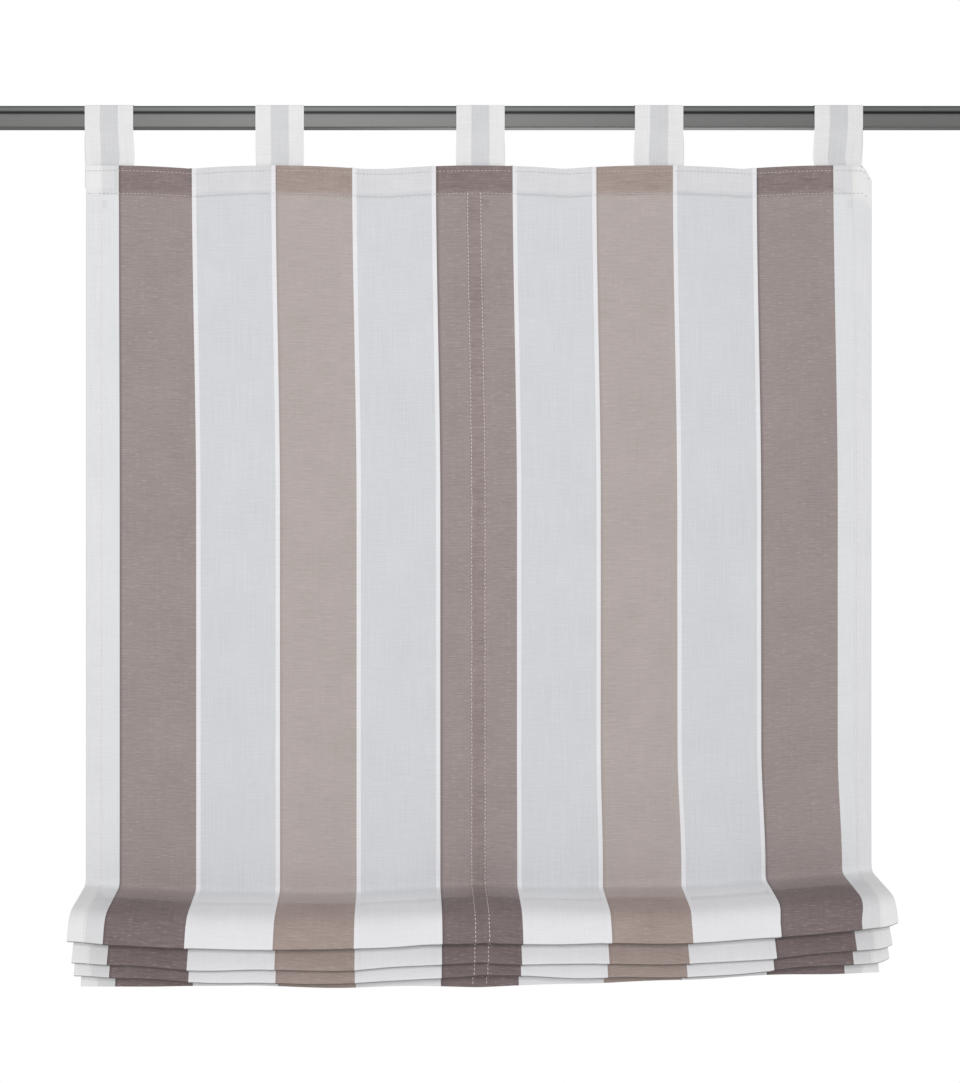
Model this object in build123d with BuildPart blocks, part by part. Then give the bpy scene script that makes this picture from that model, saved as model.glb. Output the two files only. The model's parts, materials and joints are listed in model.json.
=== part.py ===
from build123d import *
import math
import os

os.makedirs("parts", exist_ok=True)

# Roman blind with fabric tabs on a curtain rail, partly raised.
# X runs along the rail, Y towards the wall, Z up, in millimetres.
# The origin is the middle of the wall holes: wall plane in Y, rail height in Z.

# Rail
rail_length = 1090
rail_height = 22
rail_depth = 10
rail_wall = 1.3
rail_corner = 1.2
rail_to_wall = 35
groove_drop = 6.2
groove_height = 2.2
groove_depth = 1.8

# Rail end caps
cap_thickness = 2.5
cap_plug_length = 9
cap_plug_clearance = 0.2
cap_chamfer = 0.6

# Wall brackets, a sleeve round the rail on an arm from a wall plate
bracket_inset = 19
plate_width = 26
plate_height = 50
plate_thickness = 3
plate_corner = 4
hole_spacing = 34
hole_radius = 2.3
hole_head_radius = 4.4
arm_width = 12
arm_height = 12
sleeve_length = 16
sleeve_wall = 2.4
sleeve_clearance = 0.3
screw_boss_radius = 5
screw_boss_height = 4
screw_radius = 2
screw_clearance = 0.15
screw_tip_gap = 0.2
screw_head_radius = 5
screw_head_height = 4.5
screw_head_sides = 8
screw_head_gap = 2

# Cloth
cloth_width = 800
cloth_thickness = 0.8
header_height = 24
header_extra = 0.8
side_hem_width = 17
side_hem_extra = 0.4
selvedge_width = 34.5
colour_stripe_width = 78
colour_stripe_count = 5
border_width = 4.4
border_extra = 0.15
hang_below_rail = 48

# Gathered part of the cloth
flat_length = 734
stack_ring_pitch = 11
fold_reach = (67, 53, 44)
fold_drop = (35, 60, 76)
fold_bend = 0.4
first_turn_radius = 8
tip_half_width = 3.5
ring_turn = 2.2
tight_bend = 0.85
hem_reach = 19
hem_drop = 95
hem_bend_radius = 30
span_sag = 8
right_raise = 14
top_edge_sag = 4
loft_steps = 6

# Tabs, at the uneven places where they are sewn
tab_width = 49
tab_thickness = 0.8
tab_centres = (-375, -202, 1.5, 182.5, 364.5)
tab_overlap = 18
tab_join = 4
tab_rail_clearance = 0.3
tab_gap = 0.3

# Ring tapes, rings and cords
tape_width = 16
tape_thickness = 0.6
tape_gap = 0.3
tape_edge_inset = 1
ring_wire_radius = 0.9
ring_radius = 5.6
ring_sides = 12
ring_gap = 0.25
ring_pitch = 150
flat_ring_rows = 4
header_ring_drop = 44
cord_radius = 0.6
cord_sides = 6
hook_gap = 0.2
hook_leg = 4
knot_radius = 1.6
knot_sides = 8
cord_tail = 14

# Cord stoppers
barrel_radius = 5.6
barrel_length = 15
barrel_wall = 1.4
barrel_sides = 12
stopper_floor = 1.6
plunger_clearance = 0.15
plunger_head_radius = 4.6
plunger_head_length = 2
plunger_stand_off = 2.4
cross_hole_radius = 1.7
plunger_travel = 1.8
plunger_inner_wall = 1.5
spring_wire = 0.5
spring_turns = 3
spring_corners = 8
spring_clearance = 0.4
spring_end_gap = 0.1
stopper_ring_gap = 0.25


# Places that follow from the sizes

rail_y = -(rail_to_wall + rail_depth / 2)
cloth_y = rail_y
cloth_top = -hang_below_rail
ring_line = cloth_top - flat_length
half_width = cloth_width / 2
bracket_x = rail_length / 2 - bracket_inset

tape_centre = half_width - tape_edge_inset - tape_width / 2
columns = {"left": -tape_centre, "centre": 0, "right": tape_centre}

white_stripe_count = colour_stripe_count - 1
white_stripe_width = (
    cloth_width - 2 * selvedge_width - colour_stripe_count * colour_stripe_width
) / white_stripe_count
sheer_width = white_stripe_width - 2 * border_width


# Rail: a hollow profile with a groove along its front

with BuildPart() as rail:
    with BuildSketch(Plane.YZ.offset(-rail_length / 2)):
        with Locations((rail_y, 0)):
            Rectangle(rail_depth, rail_height)
        fillet(vertices(), rail_corner)
        groove_z = rail_height / 2 - groove_drop - groove_height / 2
        groove_y = rail_y - rail_depth / 2 + groove_depth / 2
        with Locations((groove_y, groove_z)):
            Rectangle(groove_depth, groove_height, mode=Mode.SUBTRACT)
        # two chambers, parted by a web behind the groove
        upper_height = groove_drop - 2 * rail_wall
        upper_z = rail_height / 2 - rail_wall - upper_height / 2
        lower_height = rail_height - groove_drop - groove_height - 2 * rail_wall
        lower_z = -rail_height / 2 + rail_wall + lower_height / 2
        with Locations((rail_y, upper_z)):
            Rectangle(rail_depth - 2 * rail_wall, upper_height, mode=Mode.SUBTRACT)
        with Locations((rail_y, lower_z)):
            Rectangle(rail_depth - 2 * rail_wall, lower_height, mode=Mode.SUBTRACT)
    extrude(amount=rail_length)
rail.part.label = "rail"
export_step(rail.part, "parts/rail.step")


# End caps: a plate over the end of the rail and a plug in its lower chamber

for side, direction in (("left", -1), ("right", 1)):
    end_plane = Plane(
        origin=(direction * rail_length / 2, 0, 0), x_dir=(0, direction, 0), z_dir=(direction, 0, 0)
    )
    with BuildPart() as end_cap:
        with BuildSketch(end_plane):
            with Locations((direction * rail_y, 0)):
                Rectangle(rail_depth, rail_height)
            fillet(vertices(), rail_corner)
        extrude(amount=cap_thickness)
        outer_face = end_cap.faces().sort_by(Axis.X)[0 if side == "left" else -1]
        chamfer(outer_face.edges(), cap_chamfer)
        with BuildSketch(end_plane):
            with Locations((direction * rail_y, lower_z)):
                Rectangle(
                    rail_depth - 2 * rail_wall - 2 * cap_plug_clearance,
                    lower_height - 2 * cap_plug_clearance,
                )
        extrude(amount=-cap_plug_length)
    end_cap.part.label = f"rail_end_cap_{side}"
    export_step(end_cap.part, f"parts/rail_end_cap_{side}.step")


# Wall brackets: plate, arm and sleeve, with a boss below for the set screw

sleeve_height = rail_height + 2 * sleeve_clearance + 2 * sleeve_wall
sleeve_depth = rail_depth + 2 * sleeve_clearance + 2 * sleeve_wall
screw_top = -rail_height / 2 - screw_tip_gap
boss_bottom = -sleeve_height / 2 - screw_boss_height
head_top = boss_bottom - screw_head_gap

for side, centre_x in (("left", -bracket_x), ("right", bracket_x)):
    with BuildPart() as bracket:
        with BuildSketch(Plane.XZ):
            with Locations((centre_x, 0)):
                RectangleRounded(plate_width, plate_height, plate_corner)
        extrude(amount=plate_thickness)
        with BuildSketch(Plane.XZ.offset(plate_thickness)):
            with Locations((centre_x, 0)):
                Rectangle(arm_width, arm_height)
        extrude(amount=-rail_y - sleeve_depth / 2 - plate_thickness)
        with BuildSketch(Plane.YZ.offset(centre_x - sleeve_length / 2)):
            with Locations((rail_y, 0)):
                Rectangle(sleeve_depth, sleeve_height)
            fillet(vertices(), sleeve_wall)
        extrude(amount=sleeve_length)
        with BuildSketch(Plane.XY.offset(boss_bottom)):
            with Locations((centre_x, rail_y)):
                Circle(screw_boss_radius)
        extrude(amount=screw_boss_height + sleeve_wall / 2)
        with BuildSketch(Plane.YZ.offset(centre_x - sleeve_length / 2)):
            with Locations((rail_y, 0)):
                Rectangle(rail_depth + 2 * sleeve_clearance, rail_height + 2 * sleeve_clearance)
        extrude(amount=sleeve_length, mode=Mode.SUBTRACT)
        with BuildSketch(Plane.XY.offset(boss_bottom)):
            with Locations((centre_x, rail_y)):
                Circle(screw_radius + screw_clearance)
        extrude(amount=screw_boss_height + 2 * sleeve_wall, mode=Mode.SUBTRACT)
        with Locations(Plane.XZ.offset(plate_thickness)):
            with Locations((centre_x, hole_spacing / 2), (centre_x, -hole_spacing / 2)):
                CounterSinkHole(hole_radius, hole_head_radius, depth=plate_thickness)
    bracket.part.label = f"wall_bracket_{side}"
    export_step(bracket.part, f"parts/wall_bracket_{side}.step")

    # set screw with an eight-sided thumb head, pressed up against the rail
    with BuildPart() as set_screw:
        with BuildSketch(Plane.XY.offset(head_top)):
            with Locations((centre_x, rail_y)):
                Circle(screw_radius)
        extrude(amount=screw_top - head_top)
        with BuildSketch(Plane.XY.offset(head_top)):
            with Locations((centre_x, rail_y)):
                RegularPolygon(screw_head_radius, screw_head_sides)
        extrude(amount=-screw_head_height)
        chamfer(set_screw.edges().group_by(Axis.Z)[-1], screw_radius / 4)
    set_screw.part.label = f"set_screw_{side}"
    export_step(set_screw.part, f"parts/set_screw_{side}.step")


# The cloth's middle line, seen from the side

place_spacing = cloth_width / loft_steps
loft_places = [-half_width + place_spacing * step for step in range(loft_steps + 1)]


def straight_between_places(height, x):
    """Height at x on straight lines between its values at the loft places."""
    step = min(max(int((x + half_width) // place_spacing), 0), loft_steps - 1)
    start = loft_places[step]
    share = (x - start) / place_spacing
    return height(start) * (1 - share) + height(start + place_spacing) * share


def sag_between_columns(x):
    """How far the pleats hang down at x, between the ring columns."""
    from_column = min(abs(x), tape_centre) / tape_centre
    return span_sag * (1 - (2 * from_column - 1) ** 2)


def gathered_height(x):
    """How far the gathered part is drawn up at x: it sags between the ring columns, and the right is higher."""
    raised = right_raise * min(max(x, 0), tape_centre) / tape_centre
    return raised - sag_between_columns(x)


def stack_offset(x):
    """How far the gathered part lies above its nominal height at x."""
    return straight_between_places(gathered_height, x)


def flat_bottom(x):
    """Height at x where the flat part ends and the first pleat begins."""
    return ring_line + stack_offset(x) + first_turn_radius + ring_turn


def hung_height(x):
    """Height of the top edge at x, which hangs lowest between the tabs."""
    return cloth_top - top_edge_sag * math.sin(math.pi * x / tab_centres[3]) ** 2


def top_edge(x):
    """Height of the top edge at x."""
    return straight_between_places(hung_height, x)


def fold_corners(x):
    """Corners of the folded middle line at x, and the radius at each, from the top edge to the hem flap.

    Each pleat leaves its ring, bows forward, turns at its tip and comes back to the next ring.
    """
    base_z = ring_line + stack_offset(x)
    corners = [(0, base_z - top_edge(x))]
    radii = []

    def bend(forward, drop, radius):
        corners.append((forward, drop))
        radii.append(radius)

    for index, (reach, drop) in enumerate(zip(fold_reach, fold_drop)):
        ring = index * stack_ring_pitch
        next_ring = ring + stack_ring_pitch
        if index == 0:
            bend(0, -ring_turn, first_turn_radius)
            bend(reach * 0.86, drop * 0.24, reach * fold_bend)
        else:
            bend(0, ring - ring_turn, ring_turn * tight_bend)
            bend(0, ring + ring_turn, ring_turn * tight_bend)
            bend(reach * 0.76, ring + ring_turn + (drop - ring) * 0.36, reach * fold_bend)
        bend(reach, drop, tip_half_width * tight_bend)
        bend(reach - 2 * tip_half_width, drop, tip_half_width * tight_bend)
        bend(reach * 0.66, next_ring + (drop - next_ring) * 0.42, reach * fold_bend)
        bend(reach * 0.34, next_ring - ring_turn + (drop - next_ring) * 0.17, reach * fold_bend)
    last_ring = len(fold_reach) * stack_ring_pitch
    bend(0, last_ring - ring_turn, ring_turn * tight_bend)
    bend(0, last_ring + ring_turn, ring_turn * tight_bend)
    bend(hem_reach * 0.7, last_ring + (hem_drop - last_ring) * 0.36, hem_bend_radius)
    # the hem flap hangs straighter than the pleats in front of it
    corners.append((hem_reach, hem_drop - straight_between_places(sag_between_columns, x)))
    return [Vector(cloth_y - forward, base_z - drop) for forward, drop in corners], radii


def parallel_line(corners, radii, distance):
    """The same rounded line, moved sideways: a positive distance lies behind the cloth."""
    runs = [(end - start).normalized() for start, end in zip(corners, corners[1:])]
    sides = [Vector(-run.Y, run.X) for run in runs]
    moved = [corners[0] + sides[0] * distance]
    moved_radii = []
    for index, radius in enumerate(radii):
        run_in, run_out = runs[index], runs[index + 1]
        spread = (sides[index] + sides[index + 1]) * (distance / (1 + run_in.dot(run_out)))
        moved.append(corners[index + 1] + spread)
        moved_radii.append(radius - math.copysign(distance, run_in.cross(run_out).Z * distance))
    moved.append(corners[-1] + sides[-1] * distance)
    return moved, moved_radii


def sheet_section(x, front, back, drop_below_top=0, corner_count=None):
    """Section of a folded sheet at x, between two distances from the cloth's middle line."""
    corners, radii = fold_corners(x)
    corners[0] = corners[0] - Vector(0, drop_below_top)
    if corner_count:
        # a shorter sheet ends half way along its last run
        corners = corners[:corner_count]
        corners[-1] = (corners[-2] + corners[-1]) / 2
        radii = radii[: corner_count - 2]
    with BuildSketch(Plane.YZ.offset(x)) as section:
        with BuildLine():
            front_corners, front_radii = parallel_line(corners, radii, front)
            back_corners, back_radii = parallel_line(corners, radii, back)
            FilletPolyline(*front_corners, radius=front_radii)
            FilletPolyline(*back_corners, radius=back_radii)
            Line(front_corners[0], back_corners[0])
            Line(front_corners[-1], back_corners[-1])
        make_face()
    return section.sketch.face()


def header_section(x):
    """Section at x of the header hem, turned down behind the cloth."""
    with BuildSketch(Plane.YZ.offset(x)) as section:
        with Locations((cloth_y + header_back / 2, top_edge(x) - header_height / 2)):
            Rectangle(header_back, header_height)
    return section.sketch.face()


# Striped cloth: one folded sheet with a header hem, side hems and raised stripe borders

cloth_front = -cloth_thickness / 2
cloth_back = cloth_thickness / 2
header_back = cloth_back + header_extra
band_top = cloth_top - header_height

border_starts = []
for stripe in range(white_stripe_count):
    stripe_start = -half_width + selvedge_width + colour_stripe_width
    stripe_start += stripe * (white_stripe_width + colour_stripe_width)
    border_starts.append(stripe_start)
    border_starts.append(stripe_start + white_stripe_width - border_width)

with BuildPart() as striped_cloth:
    loft([sheet_section(x, cloth_front, cloth_back) for x in loft_places], ruled=True)
    loft([header_section(x) for x in loft_places], ruled=True)
    # borders of the white stripes, woven thicker, stand proud of the front
    with BuildSketch(Plane.XZ.offset(-cloth_y)):
        for start in border_starts:
            middle = start + border_width / 2
            with Locations((middle, (band_top + flat_bottom(middle)) / 2)):
                Rectangle(border_width, band_top - flat_bottom(middle))
    extrude(amount=cloth_thickness / 2 + border_extra)
    # side hems, folded once to the back
    with BuildSketch(Plane.XZ.offset(-cloth_y)):
        for middle in (side_hem_width / 2 - half_width, half_width - side_hem_width / 2):
            with Locations((middle, (band_top + flat_bottom(middle)) / 2)):
                Rectangle(side_hem_width, band_top - flat_bottom(middle))
    extrude(amount=-(cloth_thickness / 2 + side_hem_extra))
striped_cloth.part.label = "striped_cloth"
export_step(striped_cloth.part, "parts/striped_cloth.step")


# Ring tapes: narrow bands down the back of the cloth, as far as the lowest ring

tape_front = cloth_back + side_hem_extra + tape_gap
tape_back = tape_front + tape_thickness
tape_top_drop = header_height + tape_gap
corners_to_last_ring = len(fold_corners(0)[0]) - 2

for side, column_x in columns.items():
    tape_edges = (column_x - tape_width / 2, column_x + tape_width / 2)
    kinks = [x for x in loft_places if tape_edges[0] < x < tape_edges[1]]
    with BuildPart() as ring_tape:
        loft(
            [
                sheet_section(x, tape_front, tape_back, tape_top_drop, corners_to_last_ring + 1)
                for x in (tape_edges[0], *kinks, tape_edges[1])
            ],
            ruled=True,
        )
    ring_tape.part.label = f"ring_tape_{side}"
    export_step(ring_tape.part, f"parts/ring_tape_{side}.step")


# Tabs: a fabric loop over the rail, with both ends sewn together behind the header

tab_front_y = rail_y - rail_depth / 2 - tab_rail_clearance
tab_back_y = rail_y + rail_depth / 2 + tab_rail_clearance
tab_top_z = rail_height / 2 + tab_rail_clearance
tail_y = cloth_y + header_back + tab_gap + tab_thickness
tail_top = cloth_top + tab_join
tail_bottom = cloth_top - top_edge_sag - tab_overlap
tab_inside = (
    (tail_y, cloth_top),
    (tab_front_y, -rail_height / 2),
    (tab_front_y, tab_top_z),
    (tab_back_y, tab_top_z),
    (tab_back_y, -rail_height / 2),
)
tab_bends = (tab_gap, rail_corner, rail_corner, rail_corner, rail_corner)

for number, centre_x in enumerate(tab_centres, 1):
    with BuildPart() as tab:
        with BuildSketch(Plane.YZ.offset(centre_x - tab_width / 2)):
            with BuildLine():
                FilletPolyline(*tab_inside, radius=tab_bends, close=True)
            make_face()
            offset(amount=tab_thickness, kind=Kind.ARC)
            with Locations((tail_y, (tail_top + tail_bottom) / 2)):
                Rectangle(2 * tab_thickness, tail_top - tail_bottom)
            with BuildLine():
                FilletPolyline(*tab_inside, radius=tab_bends, close=True)
            make_face(mode=Mode.SUBTRACT)
        extrude(amount=tab_width)
    tab.part.label = f"tab_{number}"
    export_step(tab.part, f"parts/tab_{number}.step")


# Rings: one at the header, then at every pitch down the flat cloth, then close together in the stack

ring_outer_radius = ring_radius + ring_wire_radius
ring_y = cloth_y + tape_back + ring_gap + ring_outer_radius

for side, column_x in columns.items():
    header_ring_z = cloth_top - header_ring_drop
    stack_base = ring_line + stack_offset(column_x)
    ring_heights = {f"header_ring_{side}": header_ring_z}
    for row in range(1, flat_ring_rows + 1):
        rows_up = flat_ring_rows + 1 - row
        ring_heights[f"ring_{side}_{row}"] = ring_line + first_turn_radius + rows_up * ring_pitch
    ring_heights[f"stack_ring_{side}_1"] = flat_bottom(column_x)
    for fold in range(1, len(fold_reach) + 1):
        ring_heights[f"stack_ring_{side}_{fold + 1}"] = stack_base - fold * stack_ring_pitch
    for name, ring_z in ring_heights.items():
        with BuildPart() as ring:
            with BuildSketch(Plane.XY.offset(ring_z - ring_wire_radius)):
                with Locations((column_x, ring_y)):
                    RegularPolygon(ring_outer_radius, ring_sides)
                    RegularPolygon(ring_radius - ring_wire_radius, ring_sides, mode=Mode.SUBTRACT)
            extrude(amount=2 * ring_wire_radius)
        ring.part.label = name
        export_step(ring.part, f"parts/{name}.step")


# Lift cords: from a knot above the stopper down through every ring, hooked under the lowest one

barrel_z = cloth_top - header_ring_drop + ring_wire_radius + stopper_ring_gap + barrel_radius
cord_top = barrel_z + barrel_radius + cord_tail
hook_radius = (ring_outer_radius + hook_gap + cord_radius) / 2
hook_inside = hook_radius - cord_radius
hook_over_ring = math.sqrt(hook_inside**2 - (ring_outer_radius - hook_radius) ** 2)

for side, column_x in columns.items():
    lowest_ring = ring_line + stack_offset(column_x) - len(fold_reach) * stack_ring_pitch
    hook_z = lowest_ring - ring_wire_radius + hook_over_ring - hook_gap
    with BuildPart() as lift_cord:
        with BuildLine(Plane.YZ.offset(column_x)):
            Line((ring_y, cord_top), (ring_y, hook_z))
            CenterArc((ring_y + hook_radius, hook_z), hook_radius, 180, 180)
            Line((ring_y + 2 * hook_radius, hook_z), (ring_y + 2 * hook_radius, hook_z + hook_leg))
        with BuildSketch(Plane.XY.offset(cord_top)):
            with Locations((column_x, ring_y)):
                RegularPolygon(cord_radius, cord_sides)
        sweep()
        for knot_y, knot_z in ((ring_y, cord_top), (ring_y + 2 * hook_radius, hook_z + hook_leg)):
            with BuildSketch(Plane.XY.offset(knot_z - knot_radius)):
                with Locations((column_x, knot_y)):
                    RegularPolygon(knot_radius, knot_sides)
            extrude(amount=2 * knot_radius)
    lift_cord.part.label = f"lift_cord_{side}"
    export_step(lift_cord.part, f"parts/lift_cord_{side}.step")


# Cord stoppers: the plunger's hole stands half a travel off the barrel's, and so grips the cord

bore_radius = barrel_radius - barrel_wall
plunger_radius = bore_radius - plunger_clearance
plunger_inner_end = plunger_travel - cross_hole_radius - plunger_inner_wall
bore_floor = stopper_floor - barrel_length / 2
spring_room = plunger_inner_end - bore_floor
spring_radius = bore_radius - spring_clearance - spring_wire / 2
spring_height = spring_room - spring_wire - 2 * spring_end_gap

for side, column_x in columns.items():
    head_direction = -1 if side == "right" else 1
    barrel_x = column_x - head_direction * plunger_travel / 2
    stopper_plane = Plane(
        origin=(barrel_x, ring_y, barrel_z), x_dir=(0, 1, 0), z_dir=(head_direction, 0, 0)
    )
    with BuildPart() as barrel:
        with BuildSketch(stopper_plane.offset(-barrel_length / 2)):
            RegularPolygon(barrel_radius, barrel_sides)
        extrude(amount=barrel_length)
        end_faces = barrel.faces().sort_by(Axis.X)
        chamfer(end_faces[0].edges() + end_faces[-1].edges(), barrel_wall / 2)
        with BuildSketch(stopper_plane.offset(bore_floor)):
            Circle(bore_radius)
        extrude(amount=barrel_length - stopper_floor, mode=Mode.SUBTRACT)
        with BuildSketch(Plane.XY.offset(barrel_z)):
            with Locations((barrel_x, ring_y)):
                Circle(cross_hole_radius)
        extrude(amount=barrel_radius, both=True, mode=Mode.SUBTRACT)
    barrel.part.label = f"stopper_barrel_{side}"
    export_step(barrel.part, f"parts/stopper_barrel_{side}.step")

    with BuildPart() as plunger:
        with BuildSketch(stopper_plane.offset(plunger_inner_end)):
            Circle(plunger_radius)
        extrude(amount=barrel_length / 2 + plunger_stand_off - plunger_inner_end)
        with BuildSketch(stopper_plane.offset(barrel_length / 2 + plunger_stand_off)):
            RegularPolygon(plunger_head_radius, barrel_sides)
        extrude(amount=plunger_head_length)
        with BuildSketch(Plane.XY.offset(barrel_z)):
            with Locations((barrel_x + head_direction * plunger_travel, ring_y)):
                Circle(cross_hole_radius)
        extrude(amount=barrel_radius, both=True, mode=Mode.SUBTRACT)
    plunger.part.label = f"stopper_plunger_{side}"
    export_step(plunger.part, f"parts/stopper_plunger_{side}.step")

    with BuildPart() as spring:
        spring_plane = stopper_plane.offset(bore_floor + spring_end_gap + spring_wire / 2)
        coil_points = []
        for step in range(spring_turns * spring_corners + 1):
            turn = Vector(spring_radius, 0, 0).rotate(Axis.Z, 360 * step / spring_corners)
            rise = spring_height * step / (spring_turns * spring_corners)
            coil_points.append(spring_plane.from_local_coords(turn + Vector(0, 0, rise)))
        with BuildLine():
            coil = Polyline(*coil_points)
        with BuildSketch(Plane(origin=coil @ 0, z_dir=coil % 0)):
            Rectangle(spring_wire, spring_wire)
        sweep(path=coil, transition=Transition.RIGHT)
    spring.part.label = f"stopper_spring_{side}"
    export_step(spring.part, f"parts/stopper_spring_{side}.step")
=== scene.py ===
import json
import math
import random

import bpy
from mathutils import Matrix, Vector, noise


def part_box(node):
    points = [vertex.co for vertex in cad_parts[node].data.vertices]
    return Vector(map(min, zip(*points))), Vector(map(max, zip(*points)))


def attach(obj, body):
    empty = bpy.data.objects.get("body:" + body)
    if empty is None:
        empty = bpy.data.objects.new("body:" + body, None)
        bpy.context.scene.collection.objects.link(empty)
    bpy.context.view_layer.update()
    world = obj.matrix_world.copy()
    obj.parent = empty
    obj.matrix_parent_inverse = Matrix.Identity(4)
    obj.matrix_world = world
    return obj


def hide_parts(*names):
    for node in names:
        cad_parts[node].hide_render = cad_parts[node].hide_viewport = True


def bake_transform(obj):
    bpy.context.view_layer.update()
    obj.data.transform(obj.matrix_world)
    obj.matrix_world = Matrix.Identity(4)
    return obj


# Half-raised roman blind with fabric tabs on a flat curtain rail.
# Metres; X runs along the rail, -Y is the front, +Z up, the origin is on the wall.

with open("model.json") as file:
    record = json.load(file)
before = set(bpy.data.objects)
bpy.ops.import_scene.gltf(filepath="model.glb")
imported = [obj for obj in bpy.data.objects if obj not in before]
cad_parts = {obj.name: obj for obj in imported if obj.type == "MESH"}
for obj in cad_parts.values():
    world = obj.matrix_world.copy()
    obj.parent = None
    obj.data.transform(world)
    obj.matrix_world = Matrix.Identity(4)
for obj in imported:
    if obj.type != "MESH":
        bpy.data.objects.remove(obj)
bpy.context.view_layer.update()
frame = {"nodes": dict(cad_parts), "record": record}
random.seed(7)

MM = 0.001
SIDES = ("left", "centre", "right")

# Sizes read from the frame


def middle_x(node):
    """The middle of a CAD node along X."""
    low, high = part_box(node)
    return (low.x + high.x) / 2


rail_low, rail_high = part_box("rail")
cloth_low, cloth_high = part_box("striped_cloth")
rail_y = (rail_low.y + rail_high.y) / 2
cloth_y = rail_y
half_width = cloth_high.x
cloth_top = cloth_high.z
columns = {side: middle_x(f"header_ring_{side}") for side in SIDES}
tab_centres = [middle_x(f"tab_{number}") for number in range(1, 6)]

# Camera, at the photograph's place

CAMERA_PLACE = Vector((-75 * MM, -1240 * MM, -431 * MM))

# Cloth, as it is cut and hemmed

HEADER_HEIGHT = 30 * MM
HEADER_BEHIND = 1.2 * MM
HEADER_FOLD = 0.5 * MM
SIDE_HEM = 17 * MM
SELVEDGE = 34.5 * MM
COLOUR_STRIPE = 78 * MM
BORDER = 4.4 * MM
STRIPES = ("dark", "light", "dark", "light", "dark")
EDGE_SHADE = 3.5 * MM
BORDER_BULGE = 0.4 * MM
HEM_BEHIND = 0.9 * MM
HEM_TURN = 0.5 * MM
HEM_CREASES = (2, 3, 4, -5, -4, -3)
COLUMN_STEP = 5 * MM

# Gathered part: where each pleat turns, from the line of the uppermost stacked rings

FLAT_LENGTH = 734 * MM
RING_PITCH = 11 * MM
FOLD_REACH = (67 * MM, 53 * MM, 44 * MM)
FOLD_DROP = (35 * MM, 60 * MM, 76 * MM)
FIRST_TURN = 8 * MM
TIP_HALF_WIDTH = 3.5 * MM
RING_TURN = 2.2 * MM
HEM_REACH = 19 * MM
HEM_DROP = 95 * MM
SPAN_SAG = 8 * MM
RIGHT_RAISE = 14 * MM
TOP_EDGE_SAG = 4 * MM
TOP_SAG_REACH = 90 * MM
HEM_BEND = 30 * MM
FLAT_RUN = 2
FLAT_ROWS = 96
FOLD_ROWS = 3
HEM_ROWS = 6
WAVE_REACH = 3 * MM

# The cloth is drawn to the left near its top and to the right above its pleats.
# Its right top corner is tucked in, and the right end of each pleat curls up.

LEAN = 4.5 * MM
LEAN_WIDTH = 120 * MM
LEAN_HEIGHT = 350 * MM
DRIFT = 4.5 * MM
DRIFT_TOP = -640 * MM
DRIFT_HEIGHT = 125 * MM
DRIFT_END = -775 * MM
DRIFT_FADE = 25 * MM
CORNER_WIDTH = 9 * MM
CORNER_DROP = 15 * MM
CURL_WIDTH = 14 * MM
CURL_RISE = 4.5 * MM

# Two layers look darker on the dark stripes and denser on the white ones.
# First the share by which each weave looks doubled in the header, then the height over which the cloth
# doubles at the first ring

HEADER_LAYERS = {"dark": 0.6, "light": 0.9, "sheer": 0.7, "dense": 0.7, "outer": 1.0, "hem": 1.0}
DOUBLED_START = -3 * MM
DOUBLED_FADE = 7 * MM

# Height of the shade under a pleat's front edge, and the points in each rounded corner

TIP_SHADE = 3 * MM
BEND_STEPS = 5

# Top of the stack: the hanging cloth waves only above it

STACK_TOP = -756 * MM

# The waves of the cloth fade in over this height below the top edge and above the stack

WAVE_FADE = 60 * MM

# The back run of each tab hangs a little further out than its front run

TAB_SKEW = 0.01

# Tabs: columns and rows of the mesh, the length over which they loosen below the rail, and how they flare

TAB_COLUMNS = 16
TAB_ROWS = 10
TAB_LOOSE = 30 * MM
TAB_FLARES = (0.6, -0.4, 0.8, 1.6, -0.8)
TAB_SEAMS = (5, 11)

# Stitches

STITCH_PITCH = 3.9 * MM
STITCH_LENGTH = 2.7 * MM
STITCH_WIDTH = 0.6 * MM
STITCH_HEIGHT = 0.3 * MM
STITCH_LIFT = 0.2 * MM
STITCH_WANDER = 0.25 * MM
PITCH_SPREAD = (0.96, 1.04)
HEADER_ROW_DROP = 5.5 * MM
HEADER_ROW_RISE = 1.5 * MM
HEM_ROW_INSET = 1.5 * MM
TAPE_ROWS = (-7 * MM, 6.5 * MM)

# Share along a stitch, and the width and height of its thread there

STITCH_SHAPE = ((-1, 0.3, -0.2), (-0.5, 1, 0.8), (0.5, 1, 0.8), (1, 0.3, -0.2))

# Yarn: the real threads stand 0.4 mm apart, so they are drawn about twice as coarse to show

SLUB_WIDTH = 0.95 * MM
SLUB_LENGTH = 26 * MM
WARP_WIDTH = 1.3 * MM
WARP_LENGTH = 60 * MM
CLOUD_SIZE = 60 * MM
FLECK_WIDTH = 0.9 * MM
FLECK_LENGTH = 7 * MM


# Helpers


def linear(hex_colour):
    """An sRGB hex colour as linear RGBA."""
    parts = [int(hex_colour[i : i + 2], 16) / 255 for i in (1, 3, 5)]
    return [c / 12.92 if c <= 0.04045 else ((c + 0.055) / 1.055) ** 2.4 for c in parts] + [1]


def add_node(tree, kind, **values):
    """A new node; each value sets a property or an input, and a socket is linked to its input."""
    made = tree.nodes.new(kind)
    for name, value in values.items():
        if name in made.bl_rna.properties:
            setattr(made, name, value)
            continue
        key = int(name[1:]) if name[0] == "i" and name[1:].isdigit() else name.replace("_", " ")
        socket = made.inputs[key]
        if isinstance(value, bpy.types.NodeSocket):
            tree.links.new(value, socket)
        else:
            socket.default_value = value
    return made


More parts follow.
